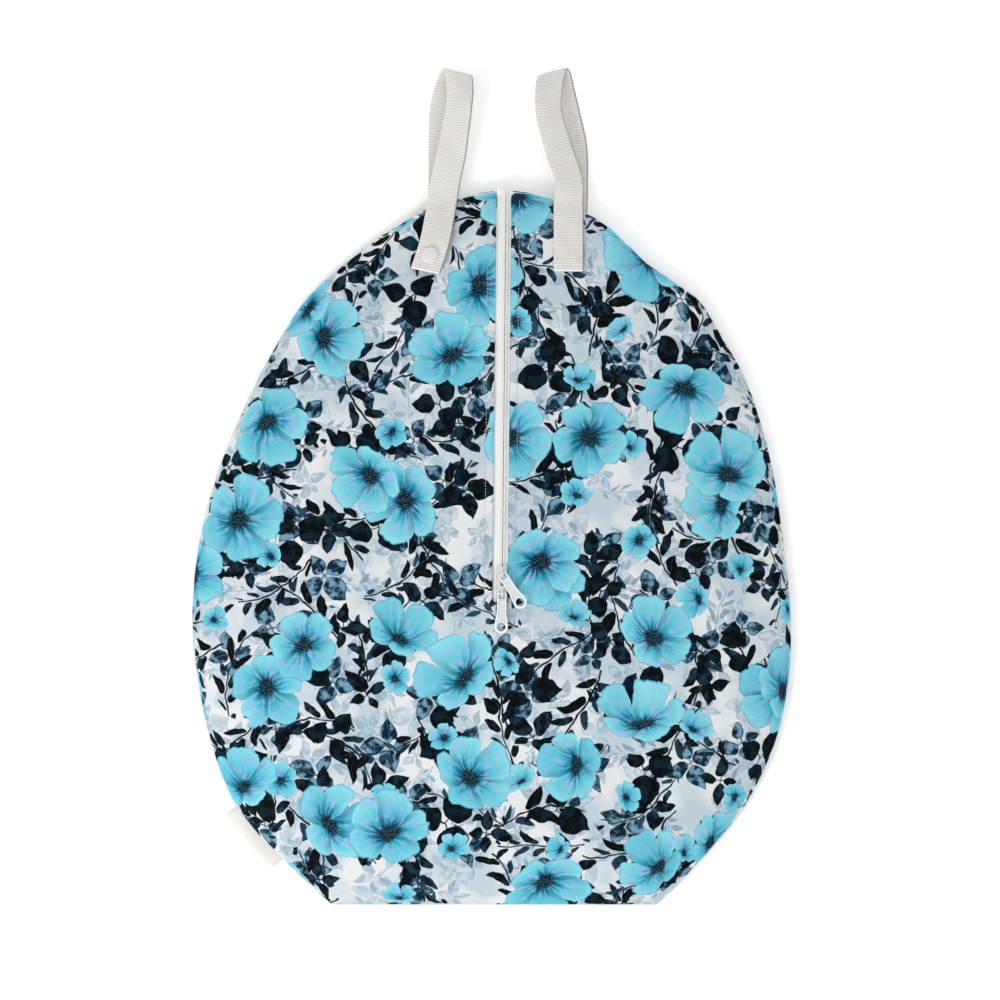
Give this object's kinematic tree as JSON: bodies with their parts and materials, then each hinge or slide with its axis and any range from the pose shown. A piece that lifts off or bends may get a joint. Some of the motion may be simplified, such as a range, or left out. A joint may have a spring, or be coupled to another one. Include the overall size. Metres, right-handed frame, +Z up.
{
  "type": "zipped cloth wet bag",
  "caption": "Egg-shaped zipped cloth wet bag with twin webbing loop handles, one of them on a snap, lying flat on its back.",
  "frame": {"origin": "middle of the overall box in plan, at the floor that the bag lies on", "axes": "+X to the right of the zip side, +Y from the straight bottom edge to the handles, +Z up out of the zip side"},
  "size_m": [0.509, 0.7118, 0.0427],
  "materials": {
    "bag_cloth": "printed waterproof polyester, soft sheen",
    "zip_tape": "woven tape, matt",
    "zip_chain": "nylon coil, satin",
    "zip_slider": "white enamel, glossy",
    "webbing": "ribbed polypropylene webbing, matt",
    "snap_plastic": "moulded resin, soft gloss",
    "label_ribbon": "folded satin ribbon, bare"
  },
  "bodies": {
    "bag": {"front_panel": "bag_cloth", "back_panel": "bag_cloth", "zipper_tape_left": "zip_tape", "zipper_tape_right": "zip_tape", "zipper_chain": "zip_chain", "slider_upper": "zip_slider", "slider_lower": "zip_slider", "handle_left": "webbing", "handle_right": "webbing", "snap_stud": "snap_plastic", "snap_socket": "snap_plastic", "snap_cap": "snap_plastic", "seam_label": "label_ribbon"},
    "upper_pull": {"pull_upper": "zip_slider"},
    "lower_pull": {"pull_lower": "zip_slider"}
  },
  "joints": [
    {"name": "upper_pull_hinge", "type": "hinge", "parent": "bag", "child": "upper_pull", "pos_m": [0.00907, -0.0743, 0.03981], "axis": [-0.8311, -0.5283, -0.1736], "range_deg": [0, 150]},
    {"name": "lower_pull_hinge", "type": "hinge", "parent": "bag", "child": "lower_pull", "pos_m": [0.00891, -0.09091, 0.03981], "axis": [-0.9996, 0.0272, 0], "range_deg": [0, 150]}
  ]
}
